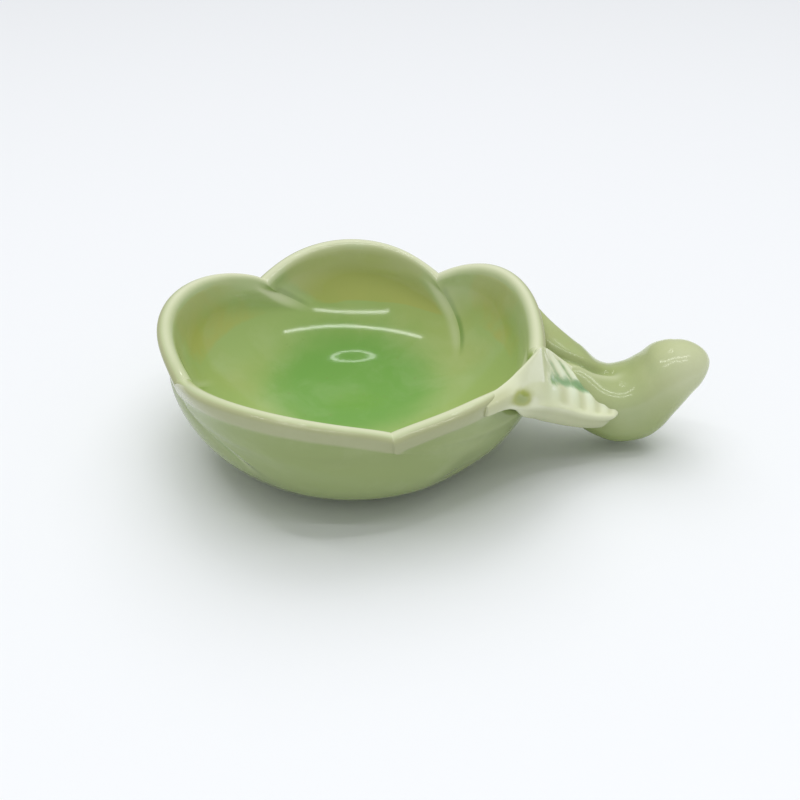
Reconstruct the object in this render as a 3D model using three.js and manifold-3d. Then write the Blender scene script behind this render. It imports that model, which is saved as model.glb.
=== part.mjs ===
// A small glazed stoneware sauce dish shaped as an open flower: five overlapping petals round a
// shallow well, a foot ring under it, and a stem that leaves one notch between two petals, dips to
// the table and turns up as a finger grip, with a veined leaf laid over its root.
// Millimetres, +Z up. The dish stands on z = 0 and the stem points along +X.

import * as THREE from "three";
import { mergeVertices } from "three/addons/utils/BufferGeometryUtils.js";
import Module from "manifold-3d";

const wasm = await Module();
wasm.setup();

// Driving dimensions: the bowl
const PETAL_RADIUS = 46; // bowl axis to the outside of a petal, at the middle of its rim
const NOTCH_RADIUS = 43; // bowl axis to the outside where two petals cross
const PETAL_HEIGHT = 32.5; // table to the top of a petal
const EDGE_HEIGHT = 25; // table to the corner where a petal's rim turns down its free edge
const BASE_RADIUS = 24; // flat underside of the well
const WALL_LEAN = THREE.MathUtils.degToRad(80); // how upright the wall is at the rim
const WELL_WALL = 5; // clay thickness at the well
const RIM_WALL = 3.4; // clay thickness at the rim, where two petals lap
const WELL_RADIUS = 29; // outside radius where the petals are set on the well
const WELL_FILL = 3.05; // more clay inside, where the floor curves up into the wall
const FILL_WHOLE = 0.35; // up to this share of the wall's lean the fill is whole
const FILL_END = 0.85; // and from this share on there is none
const FILL_EASE = 0.75; // less of it at the floor's edge
const EASE_END = 0.2; // where that easing ends, as a share of the wall's lean
const FLOOR_SAG = 3.1; // how far the middle of the floor lies below its edge
const FLOOR_POWER = 3.3; // how late the floor turns up: higher is flatter in the middle
// Where two petals cross, counter-clockwise from the notch that the stem leaves. Hand-made, so uneven.
const NOTCH_DEGREES = [-3, 64, 131, 209, 285];

// Driving dimensions: how the petals overlap
const LAP_EDGE = 1.0; // thickness that a petal's free edge stands proud of its neighbour
const RIM_LAP = THREE.MathUtils.degToRad(3); // half width of the lap at the rim
const WELL_LAP = THREE.MathUtils.degToRad(28); // half width of the lap at the well
const RIM_ROUND = 0.9; // rounding of the rim
const RIM_FULLNESS = 0.8; // power of the sine that a petal's rim follows: lower is squarer

// Driving dimensions: the foot ring
const FOOT_HEIGHT = 1.8;
const FOOT_RADIUS = 21.5;
const FOOT_WIDTH = 4;
const FOOT_ROUND = 0.6;

// Driving dimensions: the stem. Its line runs a crest below its top, where it is widest.
const STEM_CREST = 6; // from the line up to the top
const STEM_ROOT_HEIGHT = 26.8; // table to the line where it enters the wall
const STEM_ROOT_SHIFT = 8; // the root grows from the petal behind the notch
const STEM_ROOT_WIDTH = 17;
const STEM_ROOT_DROP = 13; // from the line down to the underside
const STEM_NECK_REACH = 8; // from the notch out to the neck
const STEM_NECK_HEIGHT = 18.4; // table to the line at the neck
const STEM_NECK_SHIFT = 3;
const STEM_NECK_WIDTH = 17;
const STEM_NECK_DROP = 13;
const STEM_BEND_REACH = 18.5; // from the notch out to the middle of the low bend
const STEM_BEND_LENGTH = 6;
const STEM_BEND_WIDTH = 18;
const STEM_BEND_DROP = 13.8;
const STEM_CLEARANCE = 0.8; // underside of the bend above the table
const STEM_TIP_REACH = 40; // from the notch out to the end of the stem
const STEM_TIP_HEIGHT = 21.5; // table to the middle of the tip
const STEM_TIP_WIDTH = 12.5;

// Driving dimensions: the leaf
const LEAF_THICKNESS = 2.2; // above its middle surface
const LEAF_SEAT = 1.4; // below it, and into the stem, which then trims it
const LEAF_LENGTH = 19; // along the stem, from the notch
const LEAF_BULGE = 2.4;
const LEAF_RIM_ANGLE = THREE.MathUtils.degToRad(-48); // where its free margin meets the wall
const LEAF_RIM_HEIGHT = 25.5;
const LEAF_DROOP = 4; // how far the free margin stands off the stem where it hangs most
const LEAF_DROOP_SHARE = 0.55; // where that is, as a share of the leaf's length
const LEAF_LAND_SHARE = 0.88; // where the margin comes down on the stem
const LEAF_END_ROUND = 0.12; // how much shorter the corners of its end are, as a share
const LEAF_TILT = THREE.MathUtils.degToRad(31); // how far its face turns up from level
const LEAF_VEIN_DEPTH = 0.5;
const LEAF_VEINS = 4;
const LEAF_VEIN_SLANT = 1.2; // veins that a straight line across the leaf would cross

// Clearances
const SEAM = 0.3; // slip joint between two pieces
const TRIM = 6; // how far a piece runs into the wall before it is trimmed to it

// Facets
const LAP_COLUMNS = 6;
const PETAL_COLUMNS = 10;
const PETAL_ROWS = 10;
const WELL_ROWS = 8;
const FLOOR_ROWS = 8;
const ROUND_SEGMENTS = 60;
const STEM_RINGS = 22;
const STEM_SIDES = 24;
const DOME_RINGS = 5;

const NOTCHES = NOTCH_DEGREES.map((degrees) => THREE.MathUtils.degToRad(degrees));
const PETALS = NOTCHES.length;
const TURN = 2 * Math.PI;
const petalSpan = (number) => (NOTCHES[(number + 1) % PETALS] - NOTCHES[number] + TURN) % TURN;
const { lerp, smoothstep } = THREE.MathUtils;

// Solids and geometry

function toSolid(geometry) {
  const bare = geometry.clone();
  bare.deleteAttribute("normal");
  bare.deleteAttribute("uv");
  const merged = mergeVertices(bare, 1e-4);
  return new wasm.Manifold(
    new wasm.Mesh({
      numProp: 3,
      vertProperties: merged.attributes.position.array,
      triVerts: new Uint32Array(merged.index.array),
    }),
  );
}

function toGeometry(solid) {
  const mesh = solid.getMesh();
  const geometry = new THREE.BufferGeometry();
  geometry.setAttribute("position", new THREE.BufferAttribute(mesh.vertProperties, 3));
  geometry.setIndex(new THREE.BufferAttribute(mesh.triVerts, 1));
  return geometry;
}

function indexed(points, triangles) {
  const geometry = new THREE.BufferGeometry().setFromPoints(points);
  geometry.setIndex(triangles);
  return geometry;
}

// A closed shell between two faces, each a grid of points. Columns run counter-clockwise seen from
// outside the outer face, rows run up.
function shell(columns, rows, outer, inner) {
  const points = [];
  for (const face of [outer, inner])
    for (let j = 0; j <= rows; j++)
      for (let i = 0; i <= columns; i++) points.push(face(i, j));
  const faceSize = (columns + 1) * (rows + 1);
  const out = (i, j) => j * (columns + 1) + i;
  const back = (i, j) => out(i, j) + faceSize;
  const triangles = [];
  const quad = (a, b, c, d) => triangles.push(a, b, c, a, c, d);
  for (let j = 0; j < rows; j++) {
    for (let i = 0; i < columns; i++) {
      quad(out(i, j), out(i + 1, j), out(i + 1, j + 1), out(i, j + 1));
      quad(back(i, j), back(i, j + 1), back(i + 1, j + 1), back(i + 1, j));
    }
    quad(out(0, j), out(0, j + 1), back(0, j + 1), back(0, j));
    quad(out(columns, j), back(columns, j), back(columns, j + 1), out(columns, j + 1));
  }
  for (let i = 0; i < columns; i++) {
    quad(out(i, 0), back(i, 0), back(i + 1, 0), out(i + 1, 0));
    quad(out(i, rows), out(i + 1, rows), back(i + 1, rows), back(i, rows));
  }
  return indexed(points, triangles);
}

// A closed tube through rings of points, with a fan across each end.
function tube(rings, startPoint, endPoint) {
  const sides = rings[0].length;
  const points = [...rings.flat(), startPoint, endPoint];
  const start = points.length - 2;
  const end = points.length - 1;
  const last = rings.length - 1;
  const at = (k, i) => k * sides + (i % sides);
  const triangles = [];
  for (let i = 0; i < sides; i++) {
    triangles.push(start, at(0, i + 1), at(0, i), end, at(last, i), at(last, i + 1));
    for (let k = 0; k < last; k++)
      triangles.push(
        at(k, i), at(k, i + 1), at(k + 1, i + 1),
        at(k, i), at(k + 1, i + 1), at(k + 1, i),
      );
  }
  return indexed(points, triangles);
}

function turned(profile) {
  return new THREE.LatheGeometry(profile, ROUND_SEGMENTS).rotateX(Math.PI / 2);
}

// The bowl's wall, which every petal is cut from

// Share of the way from the well up to the top of a petal: rise is the angle round the wall's ellipse.
const riseShare = (rise) => (1 - Math.cos(rise)) / (1 - Math.cos(WALL_LEAN));
const riseAtShare = (share) => Math.acos(1 - share * (1 - Math.cos(WALL_LEAN)));
const riseAtHeight = (height) => riseAtShare((height - FOOT_HEIGHT) / (PETAL_HEIGHT - FOOT_HEIGHT));
const WELL_RISE = Math.asin(
  ((WELL_RADIUS - BASE_RADIUS) / (PETAL_RADIUS - BASE_RADIUS)) * Math.sin(WALL_LEAN),
);

// 0 where two petals cross, 1 at the middle of a petal.
function petalArch(angle) {
  const past = (notch) => THREE.MathUtils.euclideanModulo(angle - notch, TURN);
  const shares = NOTCHES.map((notch, k) => past(notch) / petalSpan(k));
  return Math.max(0, Math.sin(Math.PI * Math.min(...shares)));
}

// A point of the wall, at a depth in from its outside.
function wallPoint(angle, rise, depth) {
  const lobe = smoothstep(rise, WELL_RISE, WALL_LEAN) * (1 - petalArch(angle));
  const rimRadius = lerp(PETAL_RADIUS, NOTCH_RADIUS, lobe);
  const across = (rimRadius - BASE_RADIUS) / Math.sin(WALL_LEAN);
  const up = (PETAL_HEIGHT - FOOT_HEIGHT) / (1 - Math.cos(WALL_LEAN));
  const inward = new THREE.Vector2(-up * Math.sin(rise), across * Math.cos(rise)).normalize();
  const radius = BASE_RADIUS + across * Math.sin(rise) + inward.x * depth;
  const height = FOOT_HEIGHT + up * (1 - Math.cos(rise)) + inward.y * depth;
  return new THREE.Vector3(radius * Math.cos(angle), radius * Math.sin(angle), height);
}

function wallFill(rise) {
  const share = rise / WALL_LEAN;
  const ease = Math.max(0, 1 - share / EASE_END) ** 2;
  return WELL_FILL * (1 - smoothstep(share, FILL_WHOLE, FILL_END)) - FILL_EASE * ease;
}

const wallThickness = (rise) => lerp(WELL_WALL, RIM_WALL, riseShare(rise)) + wallFill(rise);
const lapHalfWidth = (rise) => lerp(WELL_LAP, RIM_LAP, riseShare(rise));

// Petals: each laps inside its neighbour on the clockwise side and outside the one on the other

// How far across a petal a column lies at one height, 0 to 1 from its clockwise edge.
function acrossPetal(column, span, lap) {
  const lapShare = (2 * lap) / (span + 2 * lap);
  const middle = column - LAP_COLUMNS;
  if (middle < 0) return (column / LAP_COLUMNS) * lapShare;
  if (middle > PETAL_COLUMNS) {
    const left = PETAL_COLUMNS + LAP_COLUMNS - middle;
    return 1 - (left / LAP_COLUMNS) * lapShare;
  }
  return lapShare + (middle / PETAL_COLUMNS) * (1 - 2 * lapShare);
}

// Depths of a petal's outside and inside in the wall, at one column.
function petalDepths(column, rise) {
  const wall = wallThickness(rise);
  const free = LAP_EDGE + SEAM / 2;
  const seamDepth = (share) => lerp(wall - LAP_EDGE, LAP_EDGE, share);
  const middle = column - LAP_COLUMNS;
  if (middle < 0) return [seamDepth(column / LAP_COLUMNS) + SEAM / 2, wall];
  if (middle > PETAL_COLUMNS) return [0, seamDepth((middle - PETAL_COLUMNS) / LAP_COLUMNS) - SEAM / 2];
  const turn = smoothstep(middle / PETAL_COLUMNS, 0, 1);
  return [free * (1 - turn), wall - free * turn];
}

function petalGeometry(number) {
  const columns = 2 * LAP_COLUMNS + PETAL_COLUMNS;
  const span = petalSpan(number);
  const seat = WELL_RISE + SEAM / PETAL_RADIUS;
  const point = (inside) => (i, j) => {
    const arch = Math.max(0, Math.sin(Math.PI * acrossPetal(i, span, RIM_LAP))) ** RIM_FULLNESS;
    const top = riseAtHeight(lerp(EDGE_HEIGHT, PETAL_HEIGHT, arch));
    const shoulder = top - RIM_ROUND / PETAL_RADIUS;
    const rise = j === PETAL_ROWS ? top : lerp(seat, shoulder, j / (PETAL_ROWS - 1));
    const lap = lapHalfWidth(rise);
    const angle = NOTCHES[number] - lap + acrossPetal(i, span, lap) * (span + 2 * lap);
    const [outer, inner] = petalDepths(i, rise);
    const round = j === PETAL_ROWS ? Math.min(RIM_ROUND, (inner - outer) / 3) : 0;
    return wallPoint(angle, rise, inside ? inner - round : outer + round);
  };
  return shell(columns, PETAL_ROWS, point(false), point(true));
}

// Well and foot ring

function wellGeometry() {
  const seat = WELL_RISE - SEAM / PETAL_RADIUS;
  const flat = (rise, depth) => {
    const point = wallPoint(0, rise, depth);
    return new THREE.Vector2(point.x, point.z);
  };
  const rises = Array.from({ length: WELL_ROWS + 1 }, (_, k) => (seat * k) / WELL_ROWS);
  const edge = flat(0, wallThickness(0));
  const floor = Array.from({ length: FLOOR_ROWS }, (_, k) => {
    const out = 1 - (k + 1) / FLOOR_ROWS;
    return new THREE.Vector2(edge.x * out, edge.y - FLOOR_SAG * (1 - out ** FLOOR_POWER));
  });
  return turned([
    new THREE.Vector2(0, FOOT_HEIGHT),
    ...rises.map((rise) => flat(rise, 0)),
    ...rises.reverse().map((rise) => flat(rise, wallThickness(rise))),
    ...floor,
  ]);
}

function footGeometry() {
  const inner = FOOT_RADIUS - FOOT_WIDTH;
  const corners = [
    [inner + FOOT_ROUND, 0],
    [FOOT_RADIUS - FOOT_ROUND, 0],
    [FOOT_RADIUS, FOOT_ROUND],
    [FOOT_RADIUS, FOOT_HEIGHT],
    [inner, FOOT_HEIGHT],
    [inner, FOOT_ROUND],
    [inner + FOOT_ROUND, 0],
  ];
  return turned(corners.map(([radius, height]) => new THREE.Vector2(radius, height)));
}

// Stem: an oval section swept along a line that dips to the table and turns up

const STEM_BEND_HEIGHT = STEM_CLEARANCE + STEM_BEND_DROP;
const STEM_BEND_X = NOTCH_RADIUS + STEM_BEND_REACH;
const stemLine = new THREE.CatmullRomCurve3([
  new THREE.Vector3(NOTCH_RADIUS - TRIM, STEM_ROOT_SHIFT, STEM_ROOT_HEIGHT),
  new THREE.Vector3(NOTCH_RADIUS + STEM_NECK_REACH, STEM_NECK_SHIFT, STEM_NECK_HEIGHT),
  new THREE.Vector3(STEM_BEND_X - STEM_BEND_LENGTH / 2, 0, STEM_BEND_HEIGHT),
  new THREE.Vector3(STEM_BEND_X + STEM_BEND_LENGTH / 2, 0, STEM_BEND_HEIGHT),
  new THREE.Vector3(NOTCH_RADIUS + STEM_TIP_REACH - STEM_CREST, 0, STEM_TIP_HEIGHT),
]);
const stemSize = new THREE.CatmullRomCurve3([
  new THREE.Vector3(STEM_ROOT_WIDTH, STEM_ROOT_DROP),
  new THREE.Vector3(STEM_NECK_WIDTH, STEM_NECK_DROP),
  new THREE.Vector3(STEM_BEND_WIDTH, STEM_BEND_DROP),
  new THREE.Vector3(STEM_BEND_WIDTH, STEM_BEND_DROP),
  new THREE.Vector3(STEM_TIP_WIDTH, STEM_CREST),
]);

// A point round the stem's section at a share of its length: turn 0 is +Y and a quarter turn is up.
function stemPoint(share, turn, grow, ahead = 0, scale = 1) {
  const along = stemLine.getTangent(share);
  const up = new THREE.Vector3().crossVectors(along, new THREE.Vector3(0, 1, 0)).normalize();
  const { x: width, y: drop } = stemSize.getPoint(share);
  const height = Math.sin(turn) > 0 ? STEM_CREST : drop;
  const point = stemLine.getPoint(share).addScaledVector(along, ahead);
  point.y += (width / 2 + grow) * scale * Math.cos(turn);
  return point.addScaledVector(up, (height + grow) * scale * Math.sin(turn));
}

function stemGeometry(grow) {
  const turns = Array.from({ length: STEM_SIDES }, (_, i) => (TURN * i) / STEM_SIDES);
  const ring = (share, ahead, scale) =>
    turns.map((turn) => stemPoint(share, turn, grow, ahead, scale));
  const rings = [];
  for (let k = 0; k <= STEM_RINGS; k++) rings.push(ring(k / STEM_RINGS, 0, 1));
  const domeLength = STEM_CREST + grow;
  for (let k = 1; k < DOME_RINGS; k++) {
    const angle = ((Math.PI / 2) * k) / DOME_RINGS;
    rings.push(ring(1, domeLength * Math.sin(angle), Math.cos(angle)));
  }
  const end = stemLine.getPoint(1).addScaledVector(stemLine.getTangent(1), domeLength);
  return tube(rings, stemLine.getPoint(0), end);
}

// The whole bowl as one filled block, a seam larger than its wall and carried on above its rim:
// what is set on the bowl is trimmed to it.
function bowlBlock() {
  const ring = (rise, above) =>
    Array.from({ length: ROUND_SEGMENTS }, (_, i) => {
      const point = wallPoint((-TURN * i) / ROUND_SEGMENTS, rise, -SEAM);
      return point.setZ(point.z + above);
    });
  const rings = [ring(WALL_LEAN, 2 * TRIM)];
  for (let j = PETAL_ROWS; j >= 0; j--) rings.push(ring((WALL_LEAN * j) / PETAL_ROWS, 0));
  const middle = (height) => new THREE.Vector3(0, 0, height);
  return toSolid(tube(rings, middle(PETAL_HEIGHT + 2 * TRIM), middle(FOOT_HEIGHT - SEAM)));
}

// Leaf: a curved plate wrapped over the root of the stem, its front margin flaring out to the rim

const LEAF_ROOT_TURN = THREE.MathUtils.degToRad(170);
const LEAF_TIP_TURN = THREE.MathUtils.degToRad(135);
const LEAF_FRONT_TURN = THREE.MathUtils.degToRad(208);
const LEAF_COLUMNS = 14;
const LEAF_ROWS = 24;

function leafGeometry() {
  const tipShare = (TRIM + LEAF_LENGTH) / stemLine.getLength();
  const stemFace = SEAM + LEAF_SEAT;
  const margin = new THREE.CatmullRomCurve3([
    wallPoint(LEAF_RIM_ANGLE, riseAtHeight(LEAF_RIM_HEIGHT), TRIM),
    stemPoint(LEAF_DROOP_SHARE * tipShare, LEAF_FRONT_TURN, stemFace + LEAF_DROOP),
    stemPoint(LEAF_LAND_SHARE * tipShare, LEAF_FRONT_TURN, stemFace),
  ]);
  const halfAngle = LEAF_RIM_ANGLE / 2;
  const wallOut = new THREE.Vector3(Math.cos(halfAngle), Math.sin(halfAngle), 0);
  const stemOut = new THREE.Vector3(0, -1, 0);
  const point = (inside) => (i, j) => {
    const across = i / LEAF_COLUMNS;
    const along = j / LEAF_ROWS;
    const roundedEnd = 1 - LEAF_END_ROUND * (2 * across - 1) ** 2;
    const backTurn = lerp(LEAF_ROOT_TURN, LEAF_TIP_TURN, along);
    const back = stemPoint(along * roundedEnd * tipShare, backTurn, stemFace);
    const out = new THREE.Vector3().lerpVectors(wallOut, stemOut, along);
    out.setZ(Math.tan(LEAF_TILT)).normalize();
    const vein = (1 - Math.cos(TURN * (LEAF_VEINS * along - LEAF_VEIN_SLANT * across))) / 2;
    const lift = inside ? -LEAF_SEAT : LEAF_THICKNESS - LEAF_VEIN_DEPTH * vein;
    const bulge = LEAF_BULGE * 4 * across * (1 - across);
    return back.lerp(margin.getPoint(along * roundedEnd), across).addScaledVector(out, lift + bulge);
  };
  return shell(LEAF_COLUMNS, LEAF_ROWS, point(false), point(true));
}

// Assembly

const glaze = (color) => new THREE.MeshStandardMaterial({ color, roughness: 0.12, metalness: 0 });
const bareClay = new THREE.MeshStandardMaterial({ color: 0xcdbfa4, roughness: 0.85, metalness: 0 });

function piece(name, geometry, material) {
  const mesh = new THREE.Mesh(geometry, material);
  mesh.name = name;
  return mesh;
}

const block = bowlBlock();
const stemSolid = toSolid(stemGeometry(0)).subtract(block);
const leafSolid = toSolid(leafGeometry()).subtract(block).subtract(toSolid(stemGeometry(SEAM)));

const bowl = new THREE.Group();
for (let k = 0; k < PETALS; k++) bowl.add(piece(`petal_${k + 1}`, petalGeometry(k), glaze(0xa9b878)));
bowl.add(piece("well", wellGeometry(), glaze(0x7fae56)));
bowl.add(piece("foot_ring", footGeometry(), bareClay));

const grip = new THREE.Group();
grip.add(piece("stem", toGeometry(stemSolid), glaze(0xb4c088)));
grip.add(piece("leaf", toGeometry(leafSolid), glaze(0xc3cfa5)));

const dish = new THREE.Group();
dish.add(bowl, grip);

// Origin: the middle of the whole dish's footprint, on the table.
const extent = new THREE.Box3().setFromObject(dish);
const middle = extent.getCenter(new THREE.Vector3());
for (const group of [bowl, grip]) group.position.set(-middle.x, -middle.y, -extent.min.z);

export default dish;
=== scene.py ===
"""A celadon-glazed sauce dish shaped as an open flower, with a stem grip and a leaf over its root.

Lengths are metres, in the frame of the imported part: +Z up, the stem along +X, the table at z = 0.
"""

import math

import bpy
import numpy as np
from bpy.props import FloatProperty, FloatVectorProperty, PointerProperty
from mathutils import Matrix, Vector


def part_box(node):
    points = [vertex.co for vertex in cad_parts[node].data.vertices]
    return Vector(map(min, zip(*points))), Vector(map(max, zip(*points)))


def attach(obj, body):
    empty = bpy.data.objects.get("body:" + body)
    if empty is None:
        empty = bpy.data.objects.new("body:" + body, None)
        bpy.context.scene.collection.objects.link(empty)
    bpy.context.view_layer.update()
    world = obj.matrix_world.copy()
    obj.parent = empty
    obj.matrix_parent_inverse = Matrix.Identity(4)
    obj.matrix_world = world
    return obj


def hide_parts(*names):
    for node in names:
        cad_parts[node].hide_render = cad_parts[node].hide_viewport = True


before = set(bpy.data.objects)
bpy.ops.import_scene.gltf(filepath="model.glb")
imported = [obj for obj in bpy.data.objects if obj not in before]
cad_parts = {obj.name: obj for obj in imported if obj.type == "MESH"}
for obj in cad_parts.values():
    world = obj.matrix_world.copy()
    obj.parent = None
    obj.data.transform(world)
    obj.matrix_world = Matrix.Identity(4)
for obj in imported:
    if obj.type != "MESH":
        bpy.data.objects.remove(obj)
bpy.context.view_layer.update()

bl_info = {
    "name": "Petal Sauce Dish",
    "version": (1, 0, 0),
    "blender": (4, 5, 0),
    "location": "3D View > Sidebar > Dish",
    "description": "Builds the glazed petal bowl, its stem, leaf and foot round the packed part",
    "category": "Object",
}

MM = 0.001


def radians(*angles):
    return [math.radians(angle) for angle in angles]


def at_end(values):
    """For each petal the value at the notch it ends at, from values at the notches."""
    return [*values[1:], values[0]]


# Where two petals cross, counter-clockwise from the notch that the stem leaves.
NOTCHES = radians(-3, 64, 131, 209, 285)
PETALS = len(NOTCHES)
SPANS = [(end - start) % math.tau for start, end in zip(NOTCHES, at_end(NOTCHES))]

# The bowl stands on its foot ring, so the ring's middle is the bowl's axis.
FOOT_LOW, FOOT_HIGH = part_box("foot_ring")
AXIS = (FOOT_LOW + FOOT_HIGH) / 2
FOOT_HEIGHT = FOOT_HIGH.z

# At each notch, in mm: how far one petal stands over the other inside and outside (above 0 the one that
# starts there is on top), how much further out the crossing lies, and how deep the valley outside is.
INNER_STEPS = (0.5, 0.55, 1.2, -0.5, 0.5)
OUTER_STEPS = (-0.5, -0.6, -0.6, 0.8, 0.0)
NOTCH_SHIFTS = (1.8, 0.0, 0.0, 0.0, 0.0)
OUTER_VALLEYS = (1.0, 1.0, 1.0, 0.4, 1.1)
# At each notch: how far clockwise of it the inner crease starts, that crease's slant over the wall's whole
# height, its lower end as a share of that height, and how far round the wall the outer crease runs.
INNER_STARTS = radians(0, 2.5, 1.5, 0, 0)
INNER_LAPS = radians(52, 45, 52, 52, 52)
INNER_ENDS = (0.3, 0.12, 0.4, 0.3, 0.3)
OUTER_LAPS = radians(28, 28, 28, 31, 29)
# At each notch, how thin and pale the glaze is on the rim.
RIM_PALE = (1.0, 1.2, 1.2, 0.8, 1.0)
# For each petal: above 1 it is highest nearer to the notch it ends at, and how olive the glaze in it is.
PETAL_SKEW = (1.35, 1.0, 0.85, 1.0, 1.0)
PETAL_OLIVE = (0.55, 1.0, 0.55, 0.45, 0.45)

# The wall. A pair says where a change starts and ends, as shares of the wall's height from the foot up,
# as shares of a petal's width, or with MM as lengths down from the rim.
ARCH_ENDS = 0.041  # how far into its sine a petal's rim starts
RIM_FULLNESS = 0.8  # power of that sine: lower is squarer
RIM_OUTER_POWER = 0.7  # roundness of the rim's section: lower is squarer
RIM_INNER_POWER = 0.95
SHARP_INSIDE = (0.5, 0.9)  # the wall's soft waves turn into petals with sharp notches
SHARP_OUTSIDE = (0.75, 0.95)
LOBE_RISE = (0.02, 1.0)  # the round of the foot turns into petals
WALL_CURVE = 0.8  # radius of the wall's curve as a share of the petal radius
NOTCH_SHARE = 0.76  # height of a notch as a share of the wall's
LAP_EASE = 0.06  # how slowly an outer crease leaves its notch
LAP_TURN = 0.12  # and over what height it turns along the wall
INNER_GROOVE = 0.15  # how far a crease sinks below the under petal, as a share of half its step
OUTER_GROOVE = 0.25
INNER_END_FADE = 0.25
INNER_TOP_FADE = (0.0, 3 * MM)
OUTER_END_FADE = (0.26, 0.5)
OUTER_TOP_FADE = (0.5 * MM, 6 * MM)
VALLEY_WIDTH = 8 * MM
VALLEY_FOOT = (0.06, 0.25)
VALLEY_TOP = (0.3, 0.62)
BAND_EDGE = (1.4 * MM, 3.4 * MM)  # the lip under the rim ends
BAND_CORNER = (0.0, 0.07)  # and below a notch
FULL_LIP = 1.6  # how much fuller it is where the leaf's petal starts
FULL_LIP_ENDS = (0.1, 0.4)
LEAF_BEGINS = (0.3, 0.56)  # the rim gives way under the leaf
LEAF_ENDS = (0.93, 1.0)
RIM_GIVE = 0.7  # how far it is lowered, as a share of the leaf's seat
SEAT_EDGE = (3 * MM, 8 * MM)
# Where the clay that fills the curve from floor to wall is whole, where it ends, where it eases in, and
# where the floor's curve passes into the wall's, as shares of the wall's lean.
FILL_RANGE = (0.35, 0.85)
EASE_END = 0.2
DISH_RANGE = (0.6, 0.95)
FLOOR_POWER = 3.3  # how late the floor turns up: higher is flatter in the middle

# Glaze on the bowl. Pairs in OVER_ names are shares of the way over the rim from inside to outside.
OVER_TOP = (0.0, 0.5)
OVER_ROOT = (0.25, 0.6)
OVER_OUTSIDE = (0.46, 0.7)
OVER_BAND = (0.5, 0.7)
TOP_PALE = 0.55  # the rim's own share of the pale glaze inside, the rest fades down the wall
PALE_FADE = (0.0, 13 * MM)
LEAF_PETAL_BAND = 0.2  # how much of the lip's glaze the leaf's petal has all over its outside
ROOT_SHADE = (2.4 * MM, 0.7 * MM)  # painted shade: a dark line inside beside the leaf's root, its drop and half width
CUP_FOOT = (0.4, 0.52)  # the olive glaze inside a petal starts
CUP_TOP = (0.92, 1.0)  # and ends
CUP_THICK = 0.2  # how much less pale the rim is for it
POOL_PLACE = (-2 * MM, 11 * MM)  # from the bowl's axis
POOL_RANGE = (8 * MM, 35 * MM)  # the pooled glaze thins out, from that place
UNDER_SHOW = 1.5  # how soon a step is deep enough for the lines beside its crease
INNER_DARK = (0.8 * MM, 1.8 * MM)  # lines beside a crease: distance and half width
OUTER_DARK = (0.6 * MM, 1.6 * MM)
INNER_LIGHT = (2.0 * MM, 2.0 * MM)
OUTER_LIGHT = (1.6 * MM, 1.4 * MM)
OUTER_DARKNESS = 0.6

# The stem's middle line from its neck to its tip, in mm from the bowl's axis.
STEM_PATH = ((51, 3, 17.4), (58.5, 0, 14.4), (64.5, 0, 15), (70.5, 0, 18.8), (77, 0, 21.8))
PATH_STEPS = 48
# By the share of the way along that line: its sections' tilt in degrees and, in mm, half their width, their
# height above the line and their depth below it.
STEM_TILT = ((0, -20), (0.28, -6), (0.5, 17), (0.75, 29), (1, 27))
STEM_HALF_WIDTH = ((0, 8.5), (0.3, 9.2), (0.5, 9.5), (0.75, 8.7), (1, 6.7))
STEM_CREST = ((0, 6.0), (0.45, 5.5), (0.66, 5.4), (0.89, 7.1), (1, 6.3))
STEM_DROP = ((0, 8.5), (0.28, 11.3), (0.5, 13.4), (0.62, 12.5), (0.75, 10.5), (1, 5.9))
# How far the tip's dome goes on narrowing at its sides, on top and below.
DOME_NARROW = 1.4 * MM
DOME_FALL = 1.3 * MM
DOME_RISE = 2.4 * MM
# The root's outline slants on the wall, and is found by rays from outside it.
ROOT_SHIFT = 6 * MM
ROOT_LEAN = 6 * MM
ROOT_SLANT = 5 * MM
ROOT_SINK = 0.6 * MM
ROOT_HEART = (38.6 * MM, 2.7 * MM)  # inside the wall, where the root closes
RAY_START = 70 * MM
RAY_LENGTH = 100 * MM
# By the share of the way from root to tip: the groove's place round the section in degrees, its depth, the
# pale edge in front of it, and the strand's swell.
GROOVE_LINE = ((0, 124), (0.25, 118), (0.5, 94), (0.65, 90), (1, 90))
GROOVE_RUN = ((0, 1), (0.3, 1), (0.5, 0.6), (0.68, 0.0), (1, 0))
EDGE_RUN = ((0, 0), (0.3, 0.6), (0.5, 0.8), (0.68, 0.0), (1, 0))
STRAND_RUN = ((0, 0), (0.1, 1), (0.25, 0.6), (0.55, 0), (1, 0))
GROOVE_WIDTH = math.radians(7)
STRAND_PLACE = math.radians(62)
STRAND_WIDTH = math.radians(28)
# Glaze on the stem, by the same share, and painted shade on it.
STEM_THIN = ((0, 0.25), (0.3, 0.1), (0.6, 0.1), (1, 0.5))
STEM_CUP = ((0, 0.5), (0.5, 0.5), (1, 0.6))
# painted shade: how much of the outside's darker glaze the stem takes along its length
STEM_SHADE = ((0, 0.4), (0.5, 0.8), (1, 0.5))
FRONT_PALE = 0.2
# painted shade under the stem: how much less pale and how much darker it is
UNDER_SHADE_DIM = 0.4
UNDER_SHADE_DARK = 0.35
GROOVE_DARK = 0.6

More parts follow.
